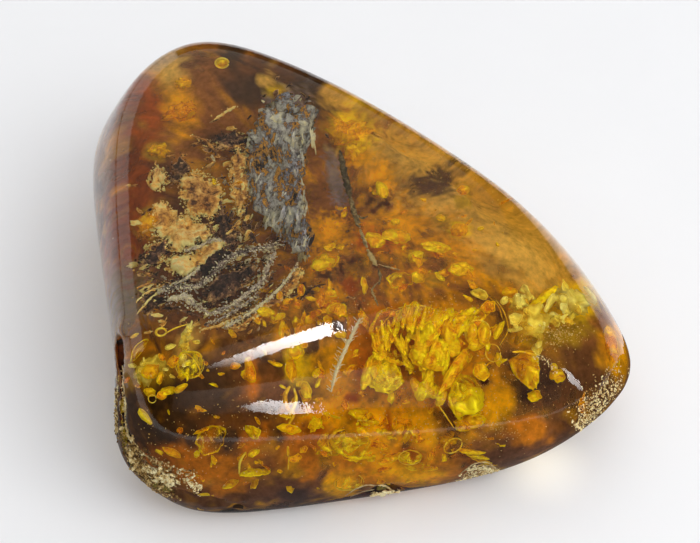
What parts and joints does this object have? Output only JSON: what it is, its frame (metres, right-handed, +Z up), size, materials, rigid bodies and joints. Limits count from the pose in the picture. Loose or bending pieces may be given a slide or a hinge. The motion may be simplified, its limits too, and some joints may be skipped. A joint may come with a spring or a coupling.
{
  "type": "raw amber piece",
  "caption": "Hand-polished nugget of clear honey amber, rounded triangle in plan, with plant remains sealed under its top face and a rough seam of rind on one corner.",
  "frame": {"origin": "under the middle of the bounding box, on the surface the stone rests on", "axes": "+Z up, through the stone's shortest way; +X towards its pointed right corner; -Y towards its front"},
  "size_m": [0.068, 0.0651, 0.0261],
  "materials": {
    "amber": "hand-polished clear amber, honey to reddish brown, with rough rind along the seam",
    "tan_bark": "tan crumpled bark",
    "dark_bark": "dark bark with pale gritty edges",
    "grey_wood": "grey weathered wood fibre",
    "moss": "pale feathery sprig",
    "gold_scale": "translucent gold stress fractures, pale yellow at the right corner"
  },
  "bodies": {
    "root": {"amber_cap": "amber", "amber_base": "amber", "bark_flake": "tan_bark", "bark_strip": "dark_bark", "wood_splinter": "grey_wood", "twig": "dark_bark", "moss_sprig": "moss", "gold_cluster": "gold_scale", "pale_cluster": "gold_scale"}
  },
  "joints": []
}
